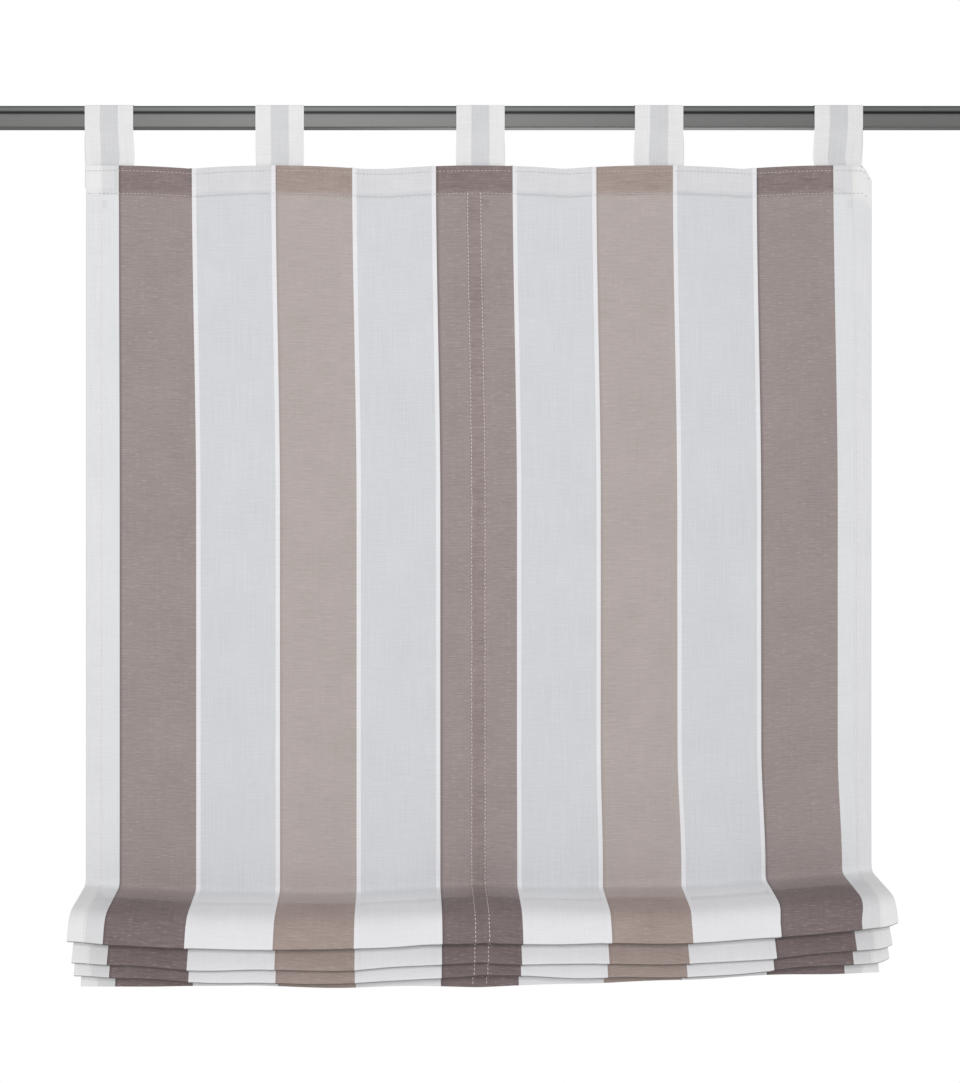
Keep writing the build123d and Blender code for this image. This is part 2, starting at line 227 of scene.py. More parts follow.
def new_material(name):
    """An empty node material with its output."""
    material = bpy.data.materials.new(name)
    material.use_nodes = True
    material.node_tree.nodes.clear()
    return material, material.node_tree


def finish_material(tree, shader):
    """The shader goes to the output."""
    output = add_node(tree, "ShaderNodeOutputMaterial")
    tree.links.new(shader, output.inputs["Surface"])


def mix_colours(tree, factor, low, high, blend="MIX"):
    """The colour that goes from low to high with factor."""
    mix = add_node(tree, "ShaderNodeMix", data_type="RGBA", blend_type=blend, Factor=factor, i6=low, i7=high)
    return mix.outputs[2]


def add_share(tree, value, share, rest):
    """rest with a share of value added."""
    return add_node(tree, "ShaderNodeMath", operation="MULTIPLY_ADD", i0=value, i1=share, i2=rest).outputs[0]


def smooth_noise(x, z, seed, width, height):
    """A soft random number from about -1 to 1 that varies over width along X and height along Z."""
    return noise.noise(Vector((x / width, z / height, seed * 7.3)))


def smoothstep(share):
    """A soft step from 0 to 1."""
    share = min(max(share, 0), 1)
    return share * share * (3 - 2 * share)


def near(value, centre, spread):
    """A bell that is 1 at centre and fades over spread."""
    return math.exp(-(((value - centre) / spread) ** 2))


def mesh_piece(name, points, faces, materials):
    """A smooth mesh object from points and faces."""
    mesh = bpy.data.meshes.new(name)
    mesh.from_pydata(points, [], faces)
    for material in materials:
        mesh.materials.append(material)
    piece = bpy.data.objects.new(name, mesh)
    bpy.context.scene.collection.objects.link(piece)
    mesh.polygons.foreach_set("use_smooth", [True] * len(mesh.polygons))
    mesh.update()
    return piece


def lay_weave(piece, texture):
    """The place of each vertex in the weave, in metres, for the woven materials."""
    uv_map = piece.data.uv_layers.new(name="Weave")
    for loop in piece.data.loops:
        uv_map.data[loop.index].uv = texture[loop.vertex_index]


# Cloth line: the section of the cloth at x, from the header hem behind to the hem flap


def sag_between_columns(x):
    """How far the pleats hang below the straight line from one ring column to the next at x."""
    outer = columns["right"]
    from_column = min(abs(x), outer) / outer
    return SPAN_SAG * (1 - (2 * from_column - 1) ** 2)


def gathered_height(x):
    """How far the gathered part is drawn up at x: it sags between the rings, and the right is higher."""
    outer = columns["right"]
    raised = RIGHT_RAISE * min(max(x, 0), outer) / outer
    edge_lift = 1.5 * MM * smooth_noise(x, 0, 3, 0.09, 1)
    return raised - sag_between_columns(x) + edge_lift


def top_edge(x):
    """Height of the top edge at x, which sags between the tabs."""
    to_tab = min(abs(x - centre) for centre in tab_centres)
    into_corner = max(x - half_width + CORNER_WIDTH, 0) / CORNER_WIDTH
    sag = TOP_EDGE_SAG * min(to_tab / TOP_SAG_REACH, 1) ** 2 * 0.9
    return cloth_top - sag - CORNER_DROP * into_corner**1.5


def leaned(x, z):
    """Where the thread that is at x lower down stands at height z."""
    from_left = smoothstep((x + half_width) / LEAN_WIDTH)
    to_right = 1 - smoothstep((x - half_width + SELVEDGE) / SELVEDGE)
    lean = LEAN * from_left * to_right * (1 - smoothstep((cloth_top - z) / LEAN_HEIGHT))
    above = smoothstep((DRIFT_TOP - z) / DRIFT_HEIGHT) * (1 - smoothstep((DRIFT_END - z) / DRIFT_FADE))
    return x - lean + DRIFT * smoothstep(x / half_width * 1.6) * to_right * above


def fold_start(x):
    """Height of the uppermost stacked rings at x, where the flat cloth ends."""
    return cloth_top - FLAT_LENGTH + gathered_height(x)


def fold_tip(index, x):
    """How far forward and how far down the front edge of a pleat reaches at x."""
    reach = FOLD_REACH[index] * (1 + 0.05 * smooth_noise(x, 0, 11 + index, 0.12, 1))
    curl = max(x - half_width + CURL_WIDTH, 0) / CURL_WIDTH
    drop = FOLD_DROP[index] + 2.2 * MM * smooth_noise(x, 0, 21 + index, 0.07, 1) - CURL_RISE * curl**2
    return reach, drop


def fold_corners(x):
    """Corners (forward, height) of the cloth's line at x and the radius at each."""
    base = fold_start(x)
    top = top_edge(x)
    corners = [(-HEADER_BEHIND, top - HEADER_HEIGHT), (-HEADER_BEHIND, top), (0, top)]
    radii = [HEADER_FOLD, HEADER_FOLD]

    def bend(forward, drop, radius):
        corners.append((forward, base - drop))
        radii.append(radius)

    for index in range(len(FOLD_REACH)):
        reach, drop = fold_tip(index, x)
        ring = index * RING_PITCH
        next_ring = ring + RING_PITCH
        full = 1 + 0.10 * smooth_noise(x, 0, 31 + index, 0.10, 1)
        if index == 0:
            bend(0, -RING_TURN, FIRST_TURN)
            bend(reach * 0.86 * full, drop * 0.24, reach * 0.4)
        else:
            bend(0, ring - RING_TURN, RING_TURN * 0.85)
            bend(0, ring + RING_TURN, RING_TURN * 0.85)
            bend(reach * 0.76, ring + RING_TURN + (drop - ring) * 0.36, reach * 0.4)
        bend(reach, drop, TIP_HALF_WIDTH * 0.85)
        bend(reach - 2 * TIP_HALF_WIDTH, drop, TIP_HALF_WIDTH * 0.85)
        bend(reach * 0.66, next_ring + (drop - next_ring) * 0.42, reach * 0.4)
        bend(reach * 0.34, next_ring - RING_TURN + (drop - next_ring) * 0.17, reach * 0.4)
    last_ring = len(FOLD_REACH) * RING_PITCH
    bend(0, last_ring - RING_TURN, RING_TURN * 0.85)
    bend(0, last_ring + RING_TURN, RING_TURN * 0.85)
    bend(HEM_REACH * 0.7, last_ring + (HEM_DROP - last_ring) * 0.36, HEM_BEND)
    hem_drop = HEM_DROP - sag_between_columns(x) + 1.5 * MM * smooth_noise(x, 0, 41, 0.08, 1)
    corners.append((HEM_REACH, base - hem_drop))
    return [Vector(corner) for corner in corners], radii


def rounded_line(corners, radii, rows, end_rows):
    """The line through the corners with each one rounded.

    rows gives the steps in the run up to each corner, end_rows those in the last run.
    """
    line = [corners[0]]
    ends = []
    for index, radius in enumerate(radii):
        before, corner, after = corners[index : index + 3]
        run_in, run_out = corner - before, after - corner
        turn = run_in.angle(run_out, 0)
        reach = min(radius * math.tan(turn / 2), run_in.length * 0.48, run_out.length * 0.48)
        start = corner - run_in.normalized() * reach
        end = corner + run_out.normalized() * reach
        ends.append((start, corner, end))
    for index, (start, corner, end) in enumerate(ends):
        previous = line[-1]
        line += [previous.lerp(start, step / rows[index]) for step in range(1, rows[index])]
        for step in range(BEND_STEPS):
            share = step / (BEND_STEPS - 1)
            line.append(start.lerp(corner, share).lerp(corner.lerp(end, share), share))
    previous = line[-1]
    line += [previous.lerp(corners[-1], step / end_rows) for step in range(1, end_rows + 1)]
    return line


def body_wave(x, z):
    """How far the hanging cloth stands forward of its plane at x and z: soft waves and puckers."""
    depth = cloth_top - z
    free = min(max(depth, 0) / WAVE_FADE, 1)
    below = min(max(z - (STACK_TOP + 10 * MM), 0) / WAVE_FADE, 1)
    # broad waves, narrower ones, and the header hem's ripple
    wave = 1.6 * MM * smooth_noise(x, z, 51, 0.11, 0.6)
    wave += 0.5 * MM * smooth_noise(x, z, 52, 0.035, 0.25)
    wave += 0.7 * MM * smooth_noise(x, z, 54, 0.09, 0.02) * near(depth, 14 * MM, 16 * MM)
    # slanted wrinkles in the left side hem below the header
    wrinkle = 1.3 * MM * math.sin((z - x) / (3.2 * MM))
    wave += wrinkle * near(x, -385 * MM, 12 * MM) * near(depth, 36 * MM, 14 * MM)
    # puckers beside the header rings
    for side in SIDES:
        beside = x - columns[side]
        pucker = 1.1 * MM * near(z, -88 * MM, 16 * MM) * math.sin(beside / (3.5 * MM))
        wave += pucker * near(beside, 0, 13 * MM)
    hang = 1.0 * MM * smooth_noise(x, z, 53, 0.05, 0.12) * near(z, STACK_TOP, 45 * MM)
    return free * below * wave + hang * below


def cloth_line(x):
    """Points (y, z) of the cloth at x."""
    corners, radii = fold_corners(x)
    rows = [FLAT_ROWS if index == FLAT_RUN else FOLD_ROWS for index in range(len(radii))]
    line = []
    for forward, height in rounded_line(corners, radii, rows, HEM_ROWS):
        if height > STACK_TOP and abs(forward) < WAVE_REACH:
            forward += body_wave(x, height)
        line.append(Vector((cloth_y - forward, height)))
    return line


def line_normals(line):
    """The direction to the back of the cloth at each point of a line."""
    normals = []
    for index in range(len(line)):
        along = line[min(index + 1, len(line) - 1)] - line[max(index - 1, 0)]
        normals.append(Vector((-along.y, along.x)).normalized())
    return normals


def edge_shade(x, point, normal):
    """How deep in the shade under a pleat's front edge a point is: 1 where the cloth turns under."""
    if cloth_y - point.x < HEM_REACH:
        return 0.0
    tips = [fold_start(x) - fold_tip(index, x)[1] for index in range(len(FOLD_REACH))]
    to_tip = max(near(point.y, tip, TIP_SHADE) for tip in tips)
    return to_tip * smoothstep((normal.y - 0.25) / 0.4)


def line_lengths(line):
    """The length along the line at each point."""
    lengths = [0.0]
    for start, end in zip(line, line[1:]):
        lengths.append(lengths[-1] + (end - start).length)
    return lengths


# Materials


def thread_noise(tree, uv, across, along, seed, detail=2.0):
    """Streaks of yarn: across and along are their width and length in metres."""
    scale = (1 / along, 1 / across, 1)
    stretched = add_node(tree, "ShaderNodeMapping", Vector=uv, Scale=scale, Location=(seed, seed, 0))
    return add_node(
        tree, "ShaderNodeTexNoise", Vector=stretched.outputs[0], Scale=1.0, Detail=detail, Roughness=0.6
    ).outputs["Fac"]


def woven(name, single, doubled, opacity, slub=0.5, warp=0.3, fleck=0.0, shade_edge=0.0):
    """Half-sheer plain weave with slubs; single and doubled give its light and dark yarn."""
    material, tree = new_material(name)
    uv = add_node(tree, "ShaderNodeUVMap", uv_map="Weave").outputs[0]
    slubs = thread_noise(tree, uv, SLUB_WIDTH, SLUB_LENGTH, 3)
    fine = thread_noise(tree, uv, SLUB_WIDTH * 0.8, SLUB_LENGTH * 0.26, 11)
    warps = thread_noise(tree, uv, WARP_LENGTH, WARP_WIDTH, 17)
    patches = thread_noise(tree, uv, CLOUD_SIZE, CLOUD_SIZE, 23)
    mixed = add_share(tree, slubs, slub, 0.5 - slub / 2)
    mixed = add_share(tree, fine, slub * 0.6, mixed)
    mixed = add_share(tree, warps, warp, mixed)
    mixed = add_share(tree, patches, 0.2, mixed)
    middle = 0.5 + slub * 0.3 + warp * 0.5 + 0.1
    spread = add_node(
        tree, "ShaderNodeMapRange", Value=mixed, From_Min=middle - 0.2, From_Max=middle + 0.2
    ).outputs[0]
    layers = add_node(tree, "ShaderNodeAttribute", attribute_name="doubled").outputs["Fac"]
    shades = [mix_colours(tree, spread, linear(dark), linear(light)) for light, dark in (single, doubled)]
    colour = mix_colours(tree, layers, shades[0], shades[1])
    if fleck:
        specks = thread_noise(tree, uv, FLECK_WIDTH, FLECK_LENGTH, 31, detail=0.0)
        picked = add_node(tree, "ShaderNodeMapRange", Value=specks, From_Min=0.66, From_Max=0.8, To_Max=fleck)
        colour = mix_colours(tree, picked.outputs[0], colour, linear("#d8d0ce"))
    if shade_edge:
        edge = add_node(tree, "ShaderNodeAttribute", attribute_name="stripe_edge").outputs["Fac"]
        share = add_node(tree, "ShaderNodeMath", operation="MULTIPLY", i0=edge, i1=shade_edge)
        colour = mix_colours(tree, share.outputs[0], colour, linear(doubled[1]))
    # Painted shade: the colour darkens down to 0.15 of itself where the cloth turns under a pleat's front
    # edge
    turned = add_node(tree, "ShaderNodeAttribute", attribute_name="painted_fold_shade").outputs["Fac"]
    shade = add_node(tree, "ShaderNodeMapRange", Value=turned, To_Min=1.0, To_Max=0.15).outputs[0]
    colour = mix_colours(tree, 1.0, colour, shade, "MULTIPLY")
    see = add_node(
        tree, "ShaderNodeMapRange", Value=spread, To_Min=opacity - 0.04, To_Max=min(opacity + 0.04, 1)
    )
    cover = add_node(tree, "ShaderNodeMath", operation="MAXIMUM", i0=see.outputs[0], i1=layers)
    bump = add_node(tree, "ShaderNodeBump", Height=spread, Strength=0.25, Distance=0.3 * MM)
    shader = add_node(
        tree,
        "ShaderNodeBsdfPrincipled",
        Base_Color=colour,
        Roughness=0.85,
        Specular_IOR_Level=0.2,
        Sheen_Weight=0.15,
        Sheen_Roughness=0.5,
        Alpha=cover.outputs[0],
        Normal=bump.outputs[0],
    )
    finish_material(tree, shader.outputs[0])
    return material


def plain_finish(name, colour, worn, grain, metallic, roughness, stretch=1.0, strength=0.15, painted_light_bands=None):
    """A hard surface whose colour and gloss vary over grain, in metres, drawn out along X by stretch.

    bands gives painted light and shade as greys by their depth below the rail's top, as (depth, grey) pairs.
    """
    material, tree = new_material(name)
    place = add_node(tree, "ShaderNodeTexCoord").outputs["Object"]
    scale = (1 / (grain * stretch), 1 / grain, 1 / grain)
    scaled = add_node(tree, "ShaderNodeMapping", Vector=place, Scale=scale).outputs[0]
    spots = add_node(tree, "ShaderNodeTexNoise", Vector=scaled, Scale=1.0, Detail=4.0, Roughness=0.6)
    shaded = mix_colours(tree, spots.outputs["Fac"], linear(worn), linear(colour))
    # Painted light and shade: the colour is multiplied by greys that change with height down the rail
    if painted_light_bands:
        height = add_node(tree, "ShaderNodeSeparateXYZ", Vector=place).outputs["Z"]
        depth = add_node(tree, "ShaderNodeMapRange", Value=height, From_Min=rail_high.z, From_Max=rail_low.z)
        ramp = add_node(tree, "ShaderNodeValToRGB", Fac=depth.outputs[0])
        stops = ramp.color_ramp.elements
        stops[0].color, stops[-1].color = linear(painted_light_bands[0][1]), linear(painted_light_bands[-1][1])
        for position, grey in painted_light_bands:
            stops.new(position * MM / (rail_high.z - rail_low.z)).color = linear(grey)
        shaded = mix_colours(tree, 1.0, shaded, ramp.outputs[0], "MULTIPLY")
    gloss = add_node(
        tree,
        "ShaderNodeMapRange",
        Value=spots.outputs["Fac"],
        To_Min=roughness - 0.08,
        To_Max=roughness + 0.08,
    )
    bump = add_node(tree, "ShaderNodeBump", Height=spots.outputs["Fac"], Strength=strength, Distance=0.1 * MM)
    shader = add_node(
        tree,
        "ShaderNodeBsdfPrincipled",
        Base_Color=shaded,
        Metallic=metallic,
        Roughness=gloss.outputs[0],
        Normal=bump.outputs[0],
    )
    finish_material(tree, shader.outputs[0])
    return material


# Taupe slub voile: dyed yarn with fine level slubs, pale flecks and darker edges; two layers look deeper
dark_weave = woven(
    "taupe_slub_weave",
    ("#a59895", "#7e7170"),
    ("#8a7c7c", "#645757"),
    0.97,
    warp=0.14,
    fleck=0.2,
    shade_edge=0.8,
)
# The same voile in a paler dye: warmer and quieter beside the dark stripes
light_weave = woven(
    "light_taupe_slub_weave",
    ("#baafac", "#9a8f8a"),
    ("#b1a19b", "#91817b"),
    0.96,
    warp=0.14,
    fleck=0.14,
    shade_edge=0.5,
)
# White voile: thin enough to see a little through, cool grey, with yarns that show both ways
sheer_weave = woven(
    "white_half_sheer_weave", ("#d4d6da", "#bdc0c4"), ("#ebeaed", "#dcdbde"), 0.90, slub=0.32, warp=0.3
)
# Selvedge voile beside the side hem: a little denser and whiter than the sheer stripes
outer_weave = woven(
    "white_edge_weave", ("#e3e4e6", "#d0d2d5"), ("#dfdfe1", "#d0d0d2"), 0.93, slub=0.3, warp=0.28
)
# Close-woven borders: bright narrow lines on both sides of each sheer stripe
dense_weave = woven(
    "white_dense_border_weave", ("#ececef", "#dadade"), ("#ececef", "#dddde0"), 0.99, slub=0.3
)
# Side hem: voile over itself, which hides what is behind it
hem_weave = woven(
    "white_doubled_hem_weave", ("#e8e8ea", "#d8d9dc"), ("#ededed", "#dfdfdf"), 0.98, slub=0.3, warp=0.28
)
# Middle of a tab: sheer, so that the rail behind it greys it
tab_weave = woven(
    "white_sheer_tab_weave", ("#dfdfe1", "#d0d1d4"), ("#dfdfe1", "#d0d1d4"), 0.90, slub=0.3, warp=0.3
)
# Hems of a tab: two layers, whiter and less sheer than its middle
tab_edge_weave = woven(
    "white_tab_hem_weave", ("#ededee", "#dededf"), ("#ededee", "#dededf"), 0.96, slub=0.3, warp=0.3
)
# Woven cotton tape: dense and matt, off-white
tape_weave = woven("white_twill_tape", ("#ebe9e5", "#d6d4cf"), ("#ebe9e5", "#d6d4cf"), 1.0, slub=0.3)
# Pale sewing thread: a bright dashed line on the taupe, hardly seen on the white
stitch_thread = plain_finish("pale_polyester_thread", "#f0e9e8", "#dcd2d0", 1.2 * MM, 0.0, 0.6)
# Beige sewing thread of the header rows: quieter than the pale one
header_thread = plain_finish("beige_polyester_thread", "#d6cbc8", "#bdb2af", 1.2 * MM, 0.0, 0.6)
# Braided cord: matt white with a grain that breaks up its light
cord_braid = plain_finish(
    "white_braided_polyester_cord", "#efefec", "#cfcfca", 0.8 * MM, 0.0, 0.7, strength=0.6
)
# Painted light and shade as greys down the rail's height, by mm below its top: darker top and bottom edges, a
# painted highlight on the upper edge, painted shade in the groove and the even lower flat
RAIL_PAINTED_LIGHT_AND_SHADE = (
    (0.1, "#8b918f"),
    (1.2, "#a3a8a6"),
    (3.6, "#dfe2e2"),
    (5.4, "#b0b4b2"),
    (6.2, "#646a68"),
    (8.6, "#646a68"),
    (9.2, "#d4d4d2"),
    (13.0, "#dddddb"),
    (20.0, "#d8d8d6"),
    (21.9, "#c4c4c2"),
)
# Anodised aluminium: satin grey, with a grain drawn out along the extrusion, and the painted light and shade
# of the greys above multiplied into its colour
rail_finish = plain_finish(
    "satin_grey_anodised_aluminium",
    "#8a8b8a",
    "#79797a",
    0.8 * MM,
    0.3,
    0.45,
    stretch=12,
    painted_light_bands=RAIL_PAINTED_LIGHT_AND_SHADE,
)
# Powder coat: a fine orange-peel grain that scatters the light
bracket_finish = plain_finish(
    "grey_powder_coated_steel", "#80807d", "#757573", 0.6 * MM, 0.0, 0.55, strength=0.4
)
# Moulded end caps: even, slightly shiny grey
cap_finish = plain_finish("grey_moulded_abs", "#777774", "#6d6d6b", 0.8 * MM, 0.0, 0.5)
# Moulded rings: the glossiest white here
ring_finish = plain_finish("clear_white_moulded_nylon", "#f1f1ee", "#e2e2dd", 2.0 * MM, 0.0, 0.3)
# Moulded stoppers: white, a little duller than the rings
stopper_finish = plain_finish("white_moulded_acetal", "#ecece8", "#dcdcd6", 1.5 * MM, 0.0, 0.4)
# Spring wire: bright bare steel
spring_finish = plain_finish("drawn_spring_steel", "#b5b5b8", "#98989b", 0.4 * MM, 1.0, 0.3)


# Striped cloth


def stripe_edges():
    """The places across the cloth where one weave gives way to another, and the weave after each."""
    white = (2 * half_width - 2 * SELVEDGE - len(STRIPES) * COLOUR_STRIPE) / (len(STRIPES) - 1)
    sheer = white - 2 * BORDER
    runs = [(SIDE_HEM, "hem"), (SELVEDGE - SIDE_HEM, "outer")]
    for index, shade in enumerate(STRIPES):
        runs.append((COLOUR_STRIPE, shade))
        if index < len(STRIPES) - 1:
            runs += [(BORDER, "dense"), (sheer, "sheer"), (BORDER, "dense")]
    runs += [(SELVEDGE - SIDE_HEM, "outer"), (SIDE_HEM, "hem")]
    return runs


def cloth_columns():
    """Columns across the cloth: x, how far behind, the weave to the right, and how near a stripe's edge."""
    turned = [(SIDE_HEM, 1), (SIDE_HEM / 2, 1), (HEM_TURN, 1), (0, 0.5), (HEM_TURN, 0)]
    places = [(inward - half_width, behind, "hem", 0) for inward, behind in turned]
    x = -half_width
    for width, weave in stripe_edges():
        coloured = weave in ("dark", "light")
        margin = EDGE_SHADE if coloured else 0
        steps = max(1, round((width - 2 * margin) / COLUMN_STEP))
        inner_steps = range(steps + 1 if coloured else steps)
        inner = [margin + (width - 2 * margin) * step / steps for step in inner_steps]
        for offset in sorted({0, *inner}):
            if x + offset > -half_width:
                places.append((x + offset, 0, weave, 1.0 if coloured and offset == 0 else 0.0))
        x += width
    places += [(half_width - inward, behind, "hem", 0) for inward, behind in reversed(turned)]
    return places


def make_cloth():
    """The whole cloth as one sheet, with its header turned down and its side hems turned in behind."""
    weaves = {
        "hem": hem_weave,
        "outer": outer_weave,
        "dark": dark_weave,
        "light": light_weave,
        "sheer": sheer_weave,
        "dense": dense_weave,
    }
    order = list(weaves)
    places = cloth_columns()
    points, edges, under, doubled, texture = [], [], [], [], []
    for x, behind, weave, at_edge in places:
        line = cloth_line(x)
        normals = line_normals(line)
        lengths = line_lengths(line)
        bulge = -BORDER_BULGE if weave == "dense" else 0.0
        gathered = 0.0
        for point, normal, length in zip(line, normals, lengths):
            moved = point + normal * (behind * HEM_BEHIND + bulge)
            points.append((leaned(x, moved.y), moved.x, moved.y))
            edges.append(at_edge)
            under.append(edge_shade(x, point, normal))
            below = fold_start(x) - DOUBLED_START - point.y
            gathered = max(gathered, smoothstep(below / DOUBLED_FADE))
            doubled.append(HEADER_LAYERS[weave] if length < 2 * HEADER_HEIGHT + 1 * MM else gathered)
            texture.append((x + half_width + behind * SIDE_HEM, length))
    rows = len(points) // len(places)
    faces, slots = [], []
    for column in range(len(places) - 1):
        for row in range(rows - 1):
            first = column * rows + row
            faces.append((first, first + 1, first + rows + 1, first + rows))
            slots.append(order.index(places[column][2]))
    cloth = mesh_piece("blind_cloth", points, faces, weaves.values())
    cloth.data.polygons.foreach_set("material_index", slots)
    creases = {column % len(places) for column in HEM_CREASES}
    for edge in cloth.data.edges:
        first, second = (vertex // rows for vertex in edge.vertices)
        edge.use_edge_sharp = first == second and first in creases
    # The second attribute is the painted shade under each pleat's front edge
    for name, values in (("stripe_edge", edges), ("painted_fold_shade", under), ("doubled", doubled)):
        cloth.data.attributes.new(name, "FLOAT", "POINT").data.foreach_set("value", values)
    lay_weave(cloth, texture)
    length = line_lengths(cloth_line(0))[-1]
    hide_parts("striped_cloth")
    return cloth


# Stitches


def stitch(points, faces, centre, along, outward):
    """One stitch: a thread that rises out of the cloth and dives back."""
    across = along.cross(outward).normalized()
    half = STITCH_LENGTH / 2
    first = len(points)
    for share, width, height in STITCH_SHAPE:
        middle = centre + along * half * share
        points.append(middle + across * STITCH_WIDTH / 2 * width)
        points.append(middle + outward * STITCH_HEIGHT * height + outward * STITCH_HEIGHT * 0.4)
        points.append(middle - across * STITCH_WIDTH / 2 * width)
    for step in range(3):
        a = first + step * 3
        faces.append((a, a + 1, a + 4, a + 3))
        faces.append((a + 1, a + 2, a + 5, a + 4))


def stitch_down(points, faces, x, from_length):
    """A row of stitches down the cloth at x, on its front."""
    line = cloth_line(x)
    normals = line_normals(line)
    lengths = line_lengths(line)
    place = from_length
    index = 0
    while place < lengths[-1] - STITCH_PITCH:
        while lengths[index + 1] < place:
            index += 1
        share = (place - lengths[index]) / max(lengths[index + 1] - lengths[index], 1e-9)
        spot = line[index].lerp(line[index + 1], share)
        run = (line[index + 1] - line[index]).normalized()
        front = -normals[index]
        wander = STITCH_WANDER * random.uniform(-1, 1)
        lifted = spot + front * STITCH_LIFT
        centre = Vector((leaned(x, spot.y) + wander, lifted.x, lifted.y))
        stitch(points, faces, centre, Vector((0, run.x, run.y)), Vector((0, front.x, front.y)))
        place += STITCH_PITCH * random.uniform(*PITCH_SPREAD)


def stitch_across(points, faces, drop):
    """A row of stitches along the header, drop below its top edge."""
    x = -half_width + 3 * MM
    while x < half_width - 3 * MM:
        z = top_edge(x) - drop
        forward = body_wave(x, z) + STITCH_LIFT
        stitch(points, faces, Vector((x, cloth_y - forward, z)), Vector((1, 0, 0)), Vector((0, -1, 0)))
        x += STITCH_PITCH * random.uniform(*PITCH_SPREAD)


def make_stitches():
    """Header rows, side hem rows and the two rows of the centre tape."""
    points, faces = [], []
    stitch_across(points, faces, HEADER_ROW_DROP)
    stitch_across(points, faces, HEADER_HEIGHT - HEADER_ROW_RISE)
    pieces = [mesh_piece("header_stitches", points, faces, [header_thread])]
    points, faces = [], []
    for side in (-1, 1):
        stitch_down(points, faces, side * (half_width - SIDE_HEM + HEM_ROW_INSET), HEADER_HEIGHT)
    pieces.append(mesh_piece("hem_stitches", points, faces, [stitch_thread]))
    points, faces = [], []
    for beside in TAPE_ROWS:
        stitch_down(points, faces, columns["centre"] + beside, HEADER_HEIGHT * 2)
    pieces.append(mesh_piece("tape_stitches", points, faces, [stitch_thread]))
    return pieces


# Ring tapes

TAPE_BEHIND = 1.5 * MM
TAPE_REACH = 4 * MM
HEADER_POINTS = 12


def make_tape(side):
    """A narrow woven tape down the back of the cloth, as far as the lowest ring."""
    name = f"ring_tape_{side}"
    low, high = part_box(name)
    places = [low.x + (high.x - low.x) * step / 4 for step in range(5)]
    lines = [cloth_line(x) for x in places]
    # every column takes the same rows, or the faces would join the wrong points
    start = max(next(i for i, p in enumerate(line) if i > HEADER_POINTS and p.y < high.z) for line in lines)
    last = min(max(i for i, p in enumerate(line) if abs(p.x - cloth_y) < TAPE_REACH) for line in lines) + 1
    points, texture = [], []
    for x, line in zip(places, lines):
        normals = line_normals(line)
        lengths = line_lengths(line)
        for index in range(start, last):
            moved = line[index] + normals[index] * TAPE_BEHIND
            points.append((leaned(x, moved.y), moved.x, moved.y))
            texture.append((x, lengths[index]))
    rows = len(points) // len(places)
    faces = [
        (c * rows + r, c * rows + rows + r, c * rows + rows + r + 1, c * rows + r + 1)
        for c in range(len(places) - 1)
        for r in range(rows - 1)
    ]
    tape = mesh_piece(f"blind_tape_{side}", points, faces, [tape_weave])
    lay_weave(tape, texture)
    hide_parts(name)
    return tape


# Tabs


def tab_line():
    """The closed line (y, z) of a tab round the rail, and its tail behind the header."""
    low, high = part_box("tab_1")
    front = low.y + 0.4 * MM
    back = rail_high.y + 0.7 * MM
    top = high.z - 0.4 * MM
    rail_bottom = rail_low.z
    tail = cloth_y + 2.1 * MM
    corners = [
        (tail, low.z),
        (tail, cloth_top + 2 * MM),
        (front, rail_bottom),
        (front, top),
        (back, top),
        (back, rail_bottom),
        (tail + 0.9 * MM, cloth_top + 2 * MM),
        (tail + 0.9 * MM, low.z),
    ]
    radii = [4 * MM, 6 * MM, 1.6 * MM, 1.6 * MM, 6 * MM, 4 * MM]
    return [Vector(corner) for corner in corners], radii


def make_tab(number):
    """A flat sheer tube over the rail: its edges are two layers and a seam, and its middle is thinner."""
    name = f"tab_{number}"
    low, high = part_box(name)
    width = high.x - low.x
    middle = (low.x + high.x) / 2
    corners, radii = tab_line()
    shares = [column / TAB_COLUMNS for column in range(TAB_COLUMNS + 1)]
    seams = [shares[column] for column in TAB_SEAMS]
    flare = TAB_FLARES[number - 1] * MM
    points, texture = [], []
    line = rounded_line(corners, radii, [TAB_ROWS] * len(radii), TAB_ROWS)
    lengths = line_lengths(line)
    for share in shares:
        for point, length in zip(line, lengths):
            down = min(max((rail_low.z - point.y) / TAB_LOOSE, 0), 1)
            wave = 0.5 * MM * smooth_noise(middle + share * width, point.y, 60 + number, 0.015, 0.05) * down
            soft = 0.6 * MM * math.sin(share * math.pi) * down
            to_back = smoothstep((point.x - rail_y) / (rail_high.y - rail_y))
            outward = TAB_SKEW * (middle - CAMERA_PLACE.x) * to_back
            x = low.x + width * share + flare * down * (share - 0.3) + outward
            seam = -0.25 * MM if share in seams else 0.0
            points.append((x, point.x - wave - soft * (1 if point.x < rail_y else -1) + seam, point.y))
            texture.append((x, length))
    rows = len(points) // len(shares)
    faces, slots = [], []
    for column in range(len(shares) - 1):
        dense = shares[column] < 0.29 or shares[column] >= 0.68
        for row in range(rows - 1):
            first = column * rows + row
            faces.append((first, first + 1, first + rows + 1, first + rows))
            slots.append(1 if dense else 0)
    tab = mesh_piece(f"blind_tab_{number}", points, faces, [tab_weave, tab_edge_weave])
    tab.data.polygons.foreach_set("material_index", slots)
    lay_weave(tab, texture)
    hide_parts(name)
    length = line_lengths([Vector((p[1], p[2])) for p in points[:rows]])[-1]
    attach(tab, "frame")
    return tab


# Rings and cords: each ring is held by wraps of thread at these turns

WRAP_TURNS = (-0.35, 0, 0.35)
WRAP_RADIUS = 0.3 * MM
CORD_RADIUS = 0.6 * MM
CORD_RUN_STEPS = 80
HOOK_STEPS = 12
HOOK_LEG = 5 * MM
LEG_STEPS = 3
KNOT_RADIUS = 1.6 * MM
KNOT_DROP = 1.2 * MM
KNOT_LOOP = 0.95 * MM
KNOT_SPREAD = 0.5 * MM


